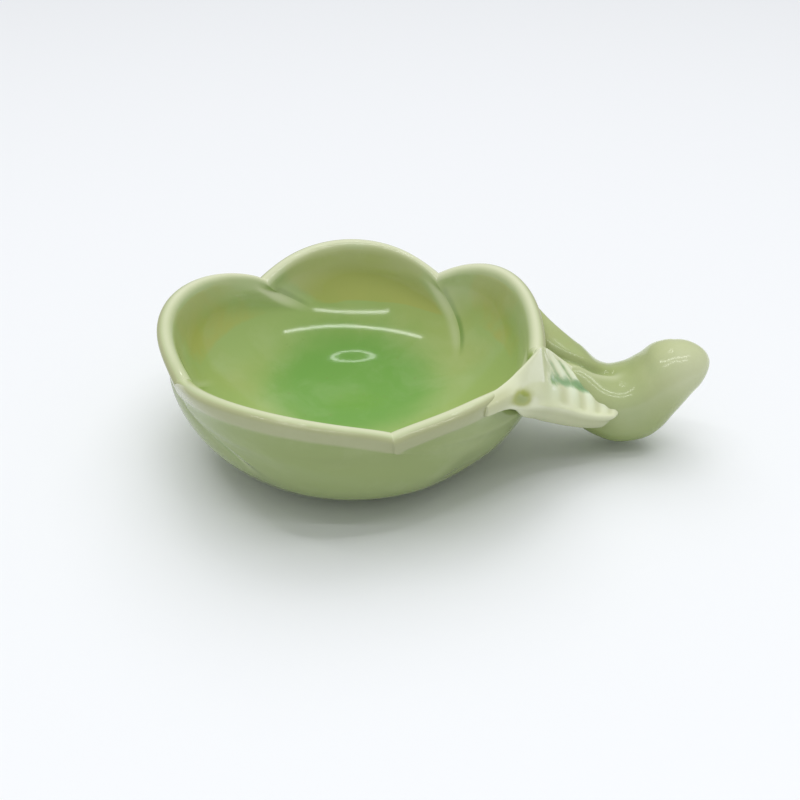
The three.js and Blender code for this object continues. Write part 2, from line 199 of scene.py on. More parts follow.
# Lines along the leaf's face from where it leaves the rim to its end, in mm from the bowl's axis: the rim's
# ridge and then its upper edge, its hollow, the crest of its rolled margin, and its lower edge.
LEAF_RAILS = (
    (
        (28.2, -33.6, 31.9), (33.6, -28.2, 33.1), (37.9, -21.9, 33), (42.2, -10.6, 30.8), (44.6, -2.4, 27.3),
        (48.3, -1.5, 24.1), (52.2, -2.6, 21.5), (56, -4.3, 19.2), (60.6, -6.8, 16.3),
    ),
    (
        (29.6, -35.3, 31), (35.6, -30.4, 31.3), (38.8, -26.1, 28.5), (42, -20, 27), (45, -14.5, 23.6),
        (48.5, -11.5, 20.4), (52.5, -9.7, 17.6), (56.8, -9.1, 15.8), (61.2, -9.5, 15),
    ),
    (
        (29.7, -35.4, 28.9), (34.3, -32, 28.9), (38, -27.6, 26.2), (41.4, -23.5, 23.8), (44.5, -19.6, 21.2),
        (48.3, -16, 18.2), (52.4, -13.6, 15.6), (56.3, -12.4, 14.4), (60.5, -11, 13.8),
    ),
    (
        (28.9, -34.4, 27.4), (34.3, -30.5, 27.2), (38.1, -26.5, 22.8), (41.4, -22, 19.2), (44.9, -17.6, 15.5),
        (49, -14.1, 12.4), (53, -11.9, 10.4), (56, -10.9, 9.7), (58.8, -10, 9.6),
    ),
)
# Shares along the leaf from the rim, and across it from its upper edge. A pair is where a change starts and
# ends, and a pair of pairs is where something comes and where it goes.
LEAF_START = (-0.06, 0.02)  # its thickness comes, so it leaves the rim with a part of it
LEAF_ROUND = 0.06  # length of its rounded end
LEAF_END_WIDTH = 0.7  # how wide that end still is
LEAF_EDGE_POWER = 0.6  # roundness of its edges: lower is squarer
VEINS_ALONG = ((0.42, 0.54), (0.92, 1.0))
VEINS_ACROSS = ((0.0, 0.05), (0.45, 0.62))
# Veins above and below the midrib: where they start, how they slant, how many, and how they draw together.
UPPER_VEINS = (0.433, 0.8, 6, 9)
LOWER_VEINS = (0.61, 0, 5.3, 11)
MIDRIB_LINE = ((0.45, 0.75, 1.0), (0.28, 0.17, 0.15))  # places along, and its places across there
MIDRIB_ALONG = ((0.44, 0.52), (0.85, 0.95))
MIDRIB_WIDTH = 0.055
RIDGE_REACH = 0.2  # how far from the midrib the ridges between veins are pale
VEIN_DARK = 0.7
DIP_PLACE = (0.19, 0.43)  # along and across
DIP_SIZE = (0.085, 0.2)
DIP_DEPTH = 0.3  # in mm
MARGIN_ACROSS = (0.6, 0.74)
MARGIN_ALONG = (0.1, 0.35)
MARGIN_SWELL = 0.5
ROOT_ACROSS = (0.0, 0.2)  # the leaf's start has the margin's glaze
ROOT_ALONG = (0.06, 0.17)
CREST_PLACE = 0.66
CREST_WIDTH = 0.09
CREST_ALONG = (0.1, 0.4)
CREST_HEIGHT = 0.5  # in mm
UNDER_FILL = 1.8  # more clay under its upper edge, in mm
UNDER_ACROSS = (0.2, 0.5)
UNDER_ALONG = (0.3, 0.45)

# Stage
TABLE_SIZE = 6
TABLE_COLOR = (0.89, 0.91, 0.94, 1)
SKY_STRENGTH = 0.46
KEY_STRENGTH = 1.2
KEY_SPREAD = math.radians(70)
KEY_TILT = math.radians(-24)
CAMERA_PLACE = (0.81 * MM, -209.08 * MM, 140.4 * MM)
CAMERA_TURN = radians(58.1, 0, 2.5)
CAMERA_LENS = 46.01
CAMERA_SENSOR = 36
CAMERA_CLIP = 0.01
# Thin lamps over the table, lengthwise to the dish: place of the middle, length, how far the ends bow back,
# and brightness.
STRIP_WIDTH = 0.03
STRIPS = (
    ("front_strip", (0.06, -0.39, 0.9), 0.72, 0.0, 13.0),
    ("long_strip", (0.02, -0.2, 0.9), 1.1, 0.23, 13.0),
)
STRIP_PARTS = 9
# A ring lamp behind the strips
RING_PLACE = (-0.03, 0.285, 0.9)
RING_RADIUS = 0.1
RING_WIDTH = 0.022
RING_POWER = 9.0
RING_LAMPS = 14

# Mesh density
COLUMN_CROWD = 0.72  # how much closer the bowl's columns stand at the creases
PETAL_COLUMNS = 84
FLOOR_ROWS = 24
WALL_ROWS = 62
RIM_ROWS = 18
BASE_ROWS = 10
STEM_COLUMNS = 96
CAP_ROWS = 3
ROOT_ROWS = 28
STEM_ROWS = 84
DOME_ROWS = 16
LEAF_ROWS = 160
LEAF_COLUMNS = 224
FOOT_COLUMNS = 128
FOOT_POINTS = 20
NEAR_ZERO = 1e-4
MERGE_DISTANCE = 1e-6


class Field:
    """A number at every point of a piece. Arithmetic on it adds Math nodes to its tree."""

    def __init__(self, tree, socket):
        self.tree = tree
        self.socket = socket

    def math(self, operation, *others):
        node = self.tree.nodes.new("ShaderNodeMath")
        node.operation = operation
        for socket, value in zip(node.inputs, (self, *others)):
            plug(self.tree, value, socket)
        return Field(self.tree, node.outputs[0])

    def __add__(self, other):
        return self.math("ADD", other)

    def __sub__(self, other):
        return self.math("SUBTRACT", other)

    def __mul__(self, other):
        return self.math("MULTIPLY", other)

    def __truediv__(self, other):
        return self.math("DIVIDE", other)

    def __pow__(self, other):
        return self.math("POWER", other)

    def __rsub__(self, other):
        return self.math("MULTIPLY_ADD", -1.0, other)

    def __neg__(self):
        return self.math("MULTIPLY", -1.0)

    __radd__ = __add__
    __rmul__ = __mul__

    def sin(self):
        return self.math("SINE")

    def cos(self):
        return self.math("COSINE")

    def floor(self):
        return self.math("FLOOR")

    def root(self):
        return self.math("SQRT")

    def exp(self):
        return self.math("EXPONENT")

    def least(self, other):
        return self.math("MINIMUM", other)

    def most(self, other):
        return self.math("MAXIMUM", other)

    def clip(self):
        return self.most(0.0).least(1.0)

    def bell(self):
        """1 where this is 0, dying away on both sides."""
        return (-(self * self)).exp()

    def smooth(self, low, high):
        """0 below low, 1 above high and a smooth step between."""
        node = self.tree.nodes.new("ShaderNodeMapRange")
        node.interpolation_type = "SMOOTHSTEP"
        for name, value in (("Value", self), ("From Min", low), ("From Max", high)):
            plug(self.tree, value, node.inputs[name])
        return Field(self.tree, node.outputs[0])

    def blend(self, start, end):
        """start where this is 0, end where it is 1."""
        return start + self * (end - start)

    def follow(self, points):
        """A smooth curve through points of this number and a value."""
        node = self.tree.nodes.new("ShaderNodeFloatCurve")
        low = min(value for _, value in points)
        high = max(value for _, value in points)
        curve = node.mapping.curves[0]
        while len(curve.points) < len(points):
            curve.points.new(0.5, 0.5)
        for knot, (place, value) in zip(curve.points, points):
            knot.location = (place, (value - low) / (high - low))
            knot.handle_type = "AUTO_CLAMPED"
        node.mapping.update()
        plug(self.tree, self, node.inputs["Value"])
        return Field(self.tree, node.outputs[0]) * (high - low) + low

    def pick(self, values):
        """The value whose place in the list is this number."""
        node = self.tree.nodes.new("GeometryNodeIndexSwitch")
        node.data_type = "FLOAT"
        while len(node.index_switch_items) < len(values):
            node.index_switch_items.new()
        plug(self.tree, self, node.inputs[0])
        for place, value in enumerate(values):
            node.inputs[place + 1].default_value = value
        return Field(self.tree, node.outputs[0])


def plug(tree, value, socket):
    """Gives a socket a field, another socket or a plain value."""
    if isinstance(value, Field):
        tree.links.new(value.socket, socket)
    elif isinstance(value, bpy.types.NodeSocket):
        tree.links.new(value, socket)
    else:
        socket.default_value = value


def add_node(tree, kind, inputs=None, **settings):
    node = tree.nodes.new(kind)
    for name, value in settings.items():
        setattr(node, name, value)
    for name, value in (inputs or {}).items():
        plug(tree, value, node.inputs[name])
    return node


# Geometry trees


def new_tree(name, sizes):
    """A geometry tree with one named input for each size, and those inputs as fields."""
    tree = bpy.data.node_groups.new(name, "GeometryNodeTree")
    tree.interface.new_socket("Geometry", in_out="INPUT", socket_type="NodeSocketGeometry")
    tree.interface.new_socket("Geometry", in_out="OUTPUT", socket_type="NodeSocketGeometry")
    for label in sizes:
        tree.interface.new_socket(label, in_out="INPUT", socket_type="NodeSocketFloat")
    group = tree.nodes.new("NodeGroupInput")
    return tree, group, {label: Field(tree, group.outputs[label]) for label in sizes}


def grid_fields(tree, columns, rows):
    """A flat grid of quads, with each point's column and row as fields."""
    sizes = {"Size X": columns, "Size Y": rows, "Vertices X": columns + 1, "Vertices Y": rows + 1}
    grid = add_node(tree, "GeometryNodeMeshGrid", sizes)
    position = tree.nodes.new("GeometryNodeInputPosition").outputs[0]
    place = add_node(tree, "ShaderNodeSeparateXYZ", {"Vector": position})
    column = Field(tree, place.outputs["X"]) + columns / 2
    row = Field(tree, place.outputs["Y"]) + rows / 2
    return grid.outputs["Mesh"], column.math("ROUND"), row.math("ROUND")


def combine(tree, x, y, z):
    return add_node(tree, "ShaderNodeCombineXYZ", {"X": x, "Y": y, "Z": z}).outputs[0]


def vector(tree, operation, *inputs):
    node = add_node(tree, "ShaderNodeVectorMath", operation=operation)
    for socket, value in zip(node.inputs, inputs):
        plug(tree, value, socket)
    return node.outputs["Vector"]


def scaled(tree, item, amount):
    node = add_node(tree, "ShaderNodeVectorMath", {"Scale": amount}, operation="SCALE")
    plug(tree, item, node.inputs[0])
    return node.outputs["Vector"]


def total(tree, *items):
    result = items[0]
    for item in items[1:]:
        result = vector(tree, "ADD", result, item)
    return result


def store(tree, mesh, name, value):
    node = add_node(tree, "GeometryNodeStoreNamedAttribute", data_type="FLOAT", domain="POINT")
    plug(tree, mesh, node.inputs["Geometry"])
    node.inputs["Name"].default_value = name
    socket = next(s for s in node.inputs if s.enabled and s.name == "Value")
    plug(tree, value, socket)
    return node.outputs[0]


def finish_tree(tree, mesh, place, attributes, material, flip):
    """Moves the grid's points to their place, closes the seams, and keeps the glaze's attributes."""
    shape = mesh
    for name, value in attributes.items():
        shape = store(tree, shape, name, value)
    shape = add_node(tree, "GeometryNodeSetPosition", {"Geometry": shape, "Position": place}).outputs[0]
    if flip:
        shape = add_node(tree, "GeometryNodeFlipFaces", {"Mesh": shape}).outputs[0]
    merge = {"Geometry": shape, "Distance": MERGE_DISTANCE}
    shape = add_node(tree, "GeometryNodeMergeByDistance", merge).outputs[0]
    shape = add_node(tree, "GeometryNodeSetShadeSmooth", {"Geometry": shape}).outputs[0]
    shape = add_node(tree, "GeometryNodeRealizeInstances", {"Geometry": shape}).outputs[0]
    shape = add_node(tree, "GeometryNodeSetMaterial", {"Geometry": shape, "Material": material}).outputs[0]
    output = tree.nodes.new("NodeGroupOutput")
    tree.links.new(shape, output.inputs[0])
    return tree


def labelled(dish, keys):
    """Sizes under the names that the panel and the trees show."""
    return {dish.bl_rna.properties[key].name: getattr(dish, key) for key in keys}


def grow_piece(name, tree, sizes, data=None):
    """Runs a tree on an object and keeps the result as a plain mesh at the origin."""
    source = bpy.data.objects.new(name + "_source", data or bpy.data.meshes.new(name + "_source"))
    bpy.context.scene.collection.objects.link(source)
    modifier = source.modifiers.new(tree.name, "NODES")
    modifier.node_group = tree
    for socket in tree.interface.items_tree:
        if socket.in_out == "INPUT" and socket.name in sizes:
            modifier[socket.identifier] = sizes[socket.name]
    depsgraph = bpy.context.evaluated_depsgraph_get()
    mesh = bpy.data.meshes.new_from_object(source.evaluated_get(depsgraph))
    bpy.data.objects.remove(source)
    if not mesh.polygons:
        raise RuntimeError(f"{name}: the tree gave no faces")
    mesh.name = name
    piece = bpy.data.objects.new(name, mesh)
    bpy.context.scene.collection.objects.link(piece)
    return piece


# The bowl

BOWL_SIZES = (
    "petal_radius", "notch_radius", "petal_height", "edge_height", "base_radius", "wall_lean", "well_wall",
    "rim_wall", "rim_cap", "rim_soften", "lip", "leaf_seat", "lap_reach", "lap_edge", "lap_hollow",
    "floor_sag", "well_fill", "fill_ease",
)


def petal_arch(across):
    """Nearly 0 at a petal's edges and 1 at its middle."""
    return (math.pi * (ARCH_ENDS + across * (1 - 2 * ARCH_ENDS))).sin().most(0.0)


class BowlShape:
    """The bowl as fields on a grid of columns round the petals and rows from the floor to the foot."""

    def __init__(self, sizes):
        self.tree, _, self.size = new_tree("petal bowl", sizes)
        self.lay_grid()
        self.raise_wall()
        self.spread_wall()
        self.lap_petals()
        self.round_rim()
        self.find_place()

    def both_ends(self, values):
        """A value per notch, blended over each petal from the notch it starts at to the one it ends at."""
        return self.middle.blend(self.petal.pick(values), self.petal.pick(at_end(values)))

    def lay_grid(self):
        """Rows run from the middle of the floor up the inside, over the rim and down to the foot."""
        rows = FLOOR_ROWS + 2 * WALL_ROWS + RIM_ROWS + BASE_ROWS
        self.mesh, column, row = grid_fields(self.tree, PETALS * PETAL_COLUMNS, rows)
        turn = column / PETAL_COLUMNS
        self.petal = turn.floor().least(PETALS - 1.0)
        even = turn - self.petal
        self.across = even - COLUMN_CROWD / math.tau * (even * math.tau).sin()
        self.middle = self.across.smooth(0.0, 1.0)
        self.span = self.petal.pick(SPANS)
        self.arc = self.span * self.size["Notch Radius"]

        self.floor_share = (row / FLOOR_ROWS).clip()
        self.inner_climb = ((row - FLOOR_ROWS) / WALL_ROWS).clip()
        self.over = ((row - (FLOOR_ROWS + WALL_ROWS)) / RIM_ROWS).clip()
        self.descent = ((row - (FLOOR_ROWS + WALL_ROWS + RIM_ROWS)) / WALL_ROWS).clip()
        self.base_share = ((row - (rows - BASE_ROWS)) / BASE_ROWS).clip()
        self.inside = self.over.math("LESS_THAN", NEAR_ZERO)
        self.outside = self.over.smooth(0.0, 1.0)

    def raise_wall(self):
        """The wall's profile is part of an ellipse, and its rim rises and falls with each petal."""
        size = self.size
        skewed = self.across ** self.petal.pick(PETAL_SKEW)
        self.arch = petal_arch(skewed)
        self.soft_arch = petal_arch(skewed.smooth(0.0, 1.0))
        self.leaf_petal = self.petal.math("COMPARE", PETALS - 1.0, 0.5)
        past_leaf = self.across.smooth(*LEAF_ENDS)
        self.under_leaf = self.leaf_petal * self.across.smooth(*LEAF_BEGINS) * (1 - past_leaf)
        petal_top = (self.arch**RIM_FULLNESS).blend(size["Edge Height"], size["Petal Height"])
        rim_height = petal_top - size["Rim Cap"] - self.under_leaf * size["Leaf Seat"] * RIM_GIVE

        self.wall_height = size["Petal Height"] - FOOT_HEIGHT
        lean_drop = 1 - size["Wall Lean"].cos()
        rim_share = (rim_height - FOOT_HEIGHT) / self.wall_height
        self.top_rise = (1 - rim_share * lean_drop).math("ARCCOSINE")
        self.climb = self.wall_height / lean_drop
        rounded = size["Rim Soften"] / (self.climb * self.top_rise.sin())
        self.rise = (self.top_rise - rounded * self.inside) * self.inner_climb * (1 - self.descent)
        self.share = (1 - self.rise.cos()) / lean_drop
        self.lean_share = self.rise / size["Wall Lean"]
        self.from_rim = (self.top_rise - self.rise) * size["Petal Radius"] * WALL_CURVE
        corner_height = size["Edge Height"] - size["Rim Cap"] - FOOT_HEIGHT
        self.under_notch = corner_height / self.wall_height - self.share

    def spread_wall(self):
        """The petals bulge out between the notches, more so towards the rim."""
        size = self.size
        sharp = self.outside.blend(self.share.smooth(*SHARP_INSIDE), self.share.smooth(*SHARP_OUTSIDE))
        lobe = self.share.smooth(*LOBE_RISE) * (1 - sharp.blend(self.soft_arch, self.arch))
        notch_radius = size["Notch Radius"] + self.both_ends([shift * MM for shift in NOTCH_SHIFTS])
        rim_radius = size["Petal Radius"] - lobe * (size["Petal Radius"] - notch_radius)
        self.reach = (rim_radius - size["Base Radius"]) / size["Wall Lean"].sin()
        slope_out = self.reach * self.rise.cos()
        slope_up = self.climb * self.rise.sin()
        slope = (slope_out * slope_out + slope_up * slope_up).root()
        self.tangent_out = slope_out / slope
        self.tangent_up = slope_up / slope

    def overlap(self, steps, groove, rounding):
        """Relief of the laps: each free edge rounds down into a groove and dies out over its petal."""
        from_start = self.across * self.arc
        from_end = (1 - self.across) * self.arc
        relief = 0.0
        for gap, up, ends in ((from_start, 1, steps), (from_end, -1, at_end(steps))):
            on_top = self.petal.pick([float(up * step > 0) for step in ends])
            edge = gap.smooth(0.0, on_top.blend(self.size["Lap Hollow"], rounding))
            fading = (gap / self.size["Lap Reach"]).bell()
            level = self.petal.pick([up * step / 2 * MM for step in ends]) * fading
            low = self.petal.pick([abs(step) / 2 * (1 + groove) * MM for step in ends])
            relief = level * edge - low * (1 - edge) + relief
        return relief

    def beside(self, steps, line):
        """How near a point lies to a line beside each crease, on the petal that lies under there."""
        place, half_width = line
        start_line = ((self.across * self.arc - place) / half_width).bell()
        end_line = (((1 - self.across) * self.arc - place) / half_width).bell()
        under_start = self.petal.pick([min(max(0.0, -step * UNDER_SHOW), 1.0) for step in steps])
        under_end = self.petal.pick([min(max(0.0, step * UNDER_SHOW), 1.0) for step in at_end(steps)])
        return start_line * under_start + end_line * under_end

    def lap_petals(self):
        """A petal's free edge stands over its neighbour along a crease that slants down the wall."""
        size = self.size
        end = self.both_ends(INNER_ENDS)
        top_fade = self.from_rim.smooth(*INNER_TOP_FADE)
        self.inner_fade = self.share.smooth(end, end + INNER_END_FADE) * top_fade
        self.outer_fade = self.share.smooth(*OUTER_END_FADE) * self.from_rim.smooth(*OUTER_TOP_FADE)
        self.inner_relief = self.overlap(INNER_STEPS, INNER_GROOVE, size["Lap Edge"]) * self.inner_fade
        laps = self.overlap(OUTER_STEPS, OUTER_GROOVE, size["Lap Hollow"]) * self.outer_fade

        past_notch = self.under_notch.smooth(*BAND_CORNER)
        self.on_band = (1 - self.from_rim.smooth(*BAND_EDGE)) * (1 - past_notch)
        fuller = self.leaf_petal * (1 - self.across.smooth(*FULL_LIP_ENDS)) * FULL_LIP + 1.0
        seat = self.under_leaf * (1 - self.from_rim.smooth(*SEAT_EDGE))
        lip = size["Lip"] * fuller * self.on_band - seat * size["Leaf Seat"]
        near = (self.across.least(1 - self.across) * self.arc / VALLEY_WIDTH).bell()
        valley = near * self.share.smooth(*VALLEY_FOOT) * (1 - self.share.smooth(*VALLEY_TOP))
        self.outer_relief = laps + lip - valley * self.both_ends([depth * MM for depth in OUTER_VALLEYS])

    def round_rim(self):
        """Over the rim the section is a rounded oblong, softer on its inner edge."""
        size = self.size
        thickness = self.share.blend(size["Well Wall"], size["Rim Wall"])
        ease_in = (1 - self.lean_share / EASE_END).most(0.0)
        fill = size["Well Fill"] * (1 - self.lean_share.smooth(*FILL_RANGE))
        fill = fill - size["Fill Ease"] * ease_in * ease_in
        inner_depth = thickness + fill + self.inner_relief

        self.inner_half = self.over.math("LESS_THAN", 0.5)
        softer = self.inner_half * self.over.math("GREATER_THAN", NEAR_ZERO)
        power = softer.blend(RIM_OUTER_POWER, RIM_INNER_POWER)
        rim_cos = (self.over * math.pi).cos()
        rim_sin = (self.over * math.pi).sin().most(0.0)
        squared = rim_cos.math("ABSOLUTE") ** power * rim_cos.math("SIGN")
        self.depth = (squared * 0.5 + 0.5).blend(-self.outer_relief, inner_depth)
        start_low = softer * size["Rim Soften"]
        self.lift = rim_sin**power * (size["Rim Cap"] + start_low) - start_low

    def find_place(self):
        """Turns the columns along the slanting creases, and lays the floor."""
        size = self.size
        below = (NOTCH_SHARE - self.share).most(0.0)
        inner_slant = -(self.both_ends(INNER_LAPS) * below + self.both_ends(INNER_STARTS))
        fallen = self.under_notch.most(0.0)
        eased = fallen * fallen / (fallen + LAP_EASE)
        lap = self.across.blend(self.petal.pick(OUTER_LAPS), self.petal.pick(at_end(OUTER_LAPS)))
        outer_slant = lap * (1 - (-(eased / LAP_TURN)).exp())
        slant = self.outside.blend(inner_slant, outer_slant)
        angle = self.petal.pick(NOTCHES) + self.across * self.span + slant

        radius = size["Base Radius"] + self.reach * self.rise.sin()
        radius = radius - self.tangent_up * self.depth + self.tangent_out * self.lift
        radius = radius * self.floor_share * (1 - self.base_share)
        height = FOOT_HEIGHT + self.climb * (1 - self.rise.cos())
        height = height + self.tangent_out * self.depth + self.tangent_up * self.lift
        floor_edge = FOOT_HEIGHT + size["Well Wall"] + size["Well Fill"] - size["Fill Ease"]
        turned_up = size["Floor Sag"] * (radius / size["Base Radius"]) ** FLOOR_POWER
        floor = floor_edge - size["Floor Sag"] + turned_up
        on_floor = self.inside * (1 - self.lean_share.smooth(*DISH_RANGE))
        self.x = radius * angle.cos()
        self.y = radius * angle.sin()
        self.place = combine(self.tree, self.x + AXIS.x, self.y + AXIS.y, on_floor.blend(height, floor))

    def thin(self):
        """The rim is pale on top; beside the leaf's root its inner slope keeps the wall's glaze."""
        down_wall = 1 - self.from_rim.smooth(*PALE_FADE)
        inner = self.over.smooth(*OVER_TOP) * TOP_PALE + down_wall * (1 - TOP_PALE)
        inner = inner * (1 - self.under_leaf * (1 - self.over.smooth(*OVER_ROOT)))
        outer = 1 - self.over.smooth(*OVER_OUTSIDE)
        return self.inner_half.blend(outer, inner) * self.both_ends(RIM_PALE)

    def glaze(self):
        """What the glaze does at each point, and where shade is painted on the bowl."""
        in_cup = self.share.smooth(*CUP_FOOT) * (1 - self.share.smooth(*CUP_TOP))
        cup = (1 - self.outside) * self.arch * in_cup * self.petal.pick(PETAL_OLIVE)
        band = self.over.smooth(*OVER_BAND) * self.on_band
        band = band + self.leaf_petal * self.outside * LEAF_PETAL_BAND
        pool_x = self.x - POOL_PLACE[0]
        pool_y = self.y - POOL_PLACE[1]
        from_pool = (pool_x * pool_x + pool_y * pool_y).root()
        # painted shade: a dark line down the rim's inner slope where the leaf sits
        root_place, root_width = ROOT_SHADE
        root_shade = ((self.from_rim - root_place) / root_width).bell() * self.under_leaf
        inner_dark = self.beside(INNER_STEPS, INNER_DARK) * self.inner_fade + root_shade
        outer_dark = self.beside(OUTER_STEPS, OUTER_DARK) * self.outer_fade * OUTER_DARKNESS
        inner_light = self.beside([-step for step in INNER_STEPS], INNER_LIGHT) * self.inner_fade
        outer_light = self.beside([-step for step in OUTER_STEPS], OUTER_LIGHT) * self.outer_fade
        return {
            "thin": self.thin() - cup * CUP_THICK,
            "pool": (1 - self.outside) * (1 - from_pool.smooth(*POOL_RANGE)),
            "cup": cup,
            # painted shade: the whole outside takes the darker outer glaze
            "shade": self.outside,
            "band": band,
            "groove": self.outside.blend(inner_dark, outer_dark),
            "ridge": self.outside.blend(inner_light, outer_light),
        }


# The stem

STEM_SIZES = (
    "root_height", "root_half_width", "root_half_height", "root_pull", "neck_pull", "dome", "groove_depth",
    "strand_swell",
)


def stem_path():
    """The stem's middle line as a smooth curve."""
    curve = bpy.data.curves.new("stem_path", "CURVE")
    curve.dimensions = "3D"
    curve.resolution_u = PATH_STEPS
    spline = curve.splines.new("BEZIER")
    spline.bezier_points.add(len(STEM_PATH) - 1)
    for knot, place in zip(spline.bezier_points, STEM_PATH):
        knot.co = Vector(place) * MM + Vector((AXIS.x, AXIS.y, 0))
        knot.handle_left_type = knot.handle_right_type = "AUTO"
    return curve


class StemShape:
    """The stem as fields on a grid of columns round it and rows from its root to its tip."""

    def __init__(self, sizes, bowl):
        self.tree, self.group, self.size = new_tree("stem grip", sizes)
        self.lay_grid()
        self.follow_path()
        self.find_wall(bowl)
        self.join_root()
        self.cut_groove()

    def lay_grid(self):
        rows = CAP_ROWS + ROOT_ROWS + STEM_ROWS + DOME_ROWS
        self.mesh, column, row = grid_fields(self.tree, STEM_COLUMNS, rows)
        self.turn = column * (math.tau / STEM_COLUMNS)
        self.side = self.turn.cos()
        self.rise = self.turn.sin()
        self.cap = (row / CAP_ROWS).clip()
        self.spread = ((row - CAP_ROWS) / ROOT_ROWS).clip()
        self.along = ((row - (CAP_ROWS + ROOT_ROWS)) / STEM_ROWS).clip()
        self.end = ((row - (rows - DOME_ROWS)) / DOME_ROWS).clip() * (math.pi / 2)
        self.whole = ((row - CAP_ROWS) / (ROOT_ROWS + STEM_ROWS)).clip()

    def follow_path(self):
        """Sections across the path are wide and deep at the bend, and close in a dome at the tip."""
        tree, along = self.tree, self.along
        path = {"Curves": self.group.outputs["Geometry"], "Factor": along}
        sample = add_node(tree, "GeometryNodeSampleCurve", mode="FACTOR")
        for name, value in path.items():
            plug(tree, value, sample.inputs[name])
        self.tangent = sample.outputs["Tangent"]
        tilt = along.follow(STEM_TILT) * (math.pi / 180)
        self.up = combine(tree, -tilt.sin(), 0.0, tilt.cos())
        past_end = self.end.sin()
        scale = self.end.cos()
        half_width = along.follow(STEM_HALF_WIDTH) * MM - past_end * DOME_NARROW
        crest = along.follow(STEM_CREST) * MM - past_end * DOME_FALL
        drop = along.follow(STEM_DROP) * MM - past_end * DOME_RISE
        height = self.rise.math("GREATER_THAN", 0.0).blend(drop, crest)
        self.ring = total(
            tree,
            sample.outputs["Position"],
            scaled(tree, self.tangent, past_end * self.size["Dome"]),
            combine(tree, 0.0, half_width * self.side * scale, 0.0),
            scaled(tree, self.up, height * self.rise * scale),
        )

    def find_wall(self, bowl):
        """Where the root's outline lies on the bowl's wall, and which way the wall faces there."""
        tree, size, side, rise = self.tree, self.size, self.side, self.rise
        source = combine(
            tree,
            AXIS.x + RAY_START,
            side * size["Root Half Width"] + rise * ROOT_LEAN + (AXIS.y + ROOT_SHIFT),
            rise * size["Root Half Height"] + side * ROOT_SLANT + size["Root Height"],
        )
        target = add_node(tree, "GeometryNodeObjectInfo", {"Object": bowl}, transform_space="ORIGINAL")
        wall = target.outputs["Geometry"]
        cast = add_node(tree, "GeometryNodeRaycast", {"Target Geometry": wall, "Source Position": source})
        cast.inputs["Ray Direction"].default_value = (-1, 0, 0)
        cast.inputs["Ray Length"].default_value = RAY_LENGTH
        self.normal = cast.outputs["Hit Normal"]
        sunk = scaled(tree, self.normal, -ROOT_SINK)
        self.root = vector(tree, "ADD", cast.outputs["Hit Position"], sunk)

    def join_root(self):
        """The root spreads on the wall and leaves it in a soft curve that runs into the path."""
        tree, size = self.tree, self.size
        heart = combine(tree, AXIS.x + ROOT_HEART[0], AXIS.y + ROOT_HEART[1], size["Root Height"])
        inward = vector(tree, "SUBTRACT", heart, self.root)
        inward = vector(tree, "SUBTRACT", inward, vector(tree, "PROJECT", inward, self.normal))
        leave = scaled(tree, vector(tree, "NORMALIZE", inward), size["Root Pull"])
        arrive = scaled(tree, self.tangent, size["Neck Pull"])
        square = self.spread * self.spread
        cube = square * self.spread
        body = total(
            tree,
            scaled(tree, self.root, cube * 2.0 - square * 3.0 + 1.0),
            scaled(tree, leave, cube - square * 2.0 + self.spread),
            scaled(tree, self.ring, square * 3.0 - cube * 2.0),
            scaled(tree, arrive, cube - square),
        )
        from_heart = vector(tree, "SUBTRACT", body, heart)
        self.body = vector(tree, "ADD", heart, scaled(tree, from_heart, self.cap))

    def cut_groove(self):
        """A groove on top parts the strand that runs to the wall from the one under the leaf."""
        tree, size, turn = self.tree, self.size, self.turn
        line = self.whole.follow(GROOVE_LINE) * (math.pi / 180)
        self.dent = ((turn - line) / GROOVE_WIDTH).bell() * self.whole.follow(GROOVE_RUN)
        front = (turn - line - GROOVE_WIDTH * 2.0) / GROOVE_WIDTH
        self.front_edge = front.bell() * self.whole.follow(EDGE_RUN)
        swell = ((turn - STRAND_PLACE) / STRAND_WIDTH).bell() * self.whole.follow(STRAND_RUN)
        relief = swell * size["Strand Swell"] - self.dent * size["Groove Depth"]
        outward = total(tree, combine(tree, 0.0, self.side, 0.0), scaled(tree, self.up, self.rise))
        self.place = vector(tree, "ADD", self.body, scaled(tree, outward, relief))

    def glaze(self):
        """What the glaze does at each point, and where shade is painted on the stem."""
        front = -self.side.least(0.0)
        # painted shade: the underside is less pale and takes the crease glaze
        under = -self.rise.least(0.0)
        return {
            "thin": self.whole.follow(STEM_THIN) + front * FRONT_PALE - under * UNDER_SHADE_DIM,
            "cup": self.whole.follow(STEM_CUP),
            # painted shade along the stem
            "shade": self.whole.follow(STEM_SHADE),
            "groove": self.dent * self.dent * GROOVE_DARK + under * under * UNDER_SHADE_DARK,
            "ridge": self.front_edge,
        }


# The leaf


def through(points, places):
    """A smooth curve through evenly spaced points, at places from 0 to 1."""
    points = np.asarray(points, float)
    count = len(points) - 1
    spot = np.clip(places, 0, 1) * count
    start = np.minimum(spot.astype(int), count - 1)
    share = (spot - start).reshape(-1, *([1] * (points.ndim - 1)))
    ends = np.concatenate([2 * points[:1] - points[1:2], points, 2 * points[-1:] - points[-2:-1]])
    p0, p1, p2, p3 = (ends[start + k] for k in range(4))
    return p1 + 0.5 * share * (
        p2 - p0 + share * (2 * p0 - 5 * p1 + 4 * p2 - p3 + share * (3 * (p1 - p2) + p3 - p0))
    )


def ease(value, low, high):
    share = np.clip((value - low) / (high - low), 0, 1)
    return share * share * (3 - 2 * share)


def between(value, comes, goes):
    return ease(value, *comes) * (1 - ease(value, *goes))


def bell(value):
    return np.exp(-(value**2))


def mesh_piece(name, points, faces, material, attributes):
    mesh = bpy.data.meshes.new(name)
    mesh.from_pydata([tuple(point) for point in points], [], [tuple(face) for face in faces])
    mesh.polygons.foreach_set("use_smooth", [True] * len(mesh.polygons))
    for label, values in attributes.items():
        mesh.attributes.new(label, "FLOAT", "POINT").data.foreach_set("value", np.asarray(values, np.float32))
    mesh.materials.append(material)
    mesh.validate()
    piece = bpy.data.objects.new(name, mesh)
    bpy.context.scene.collection.objects.link(piece)
    return piece


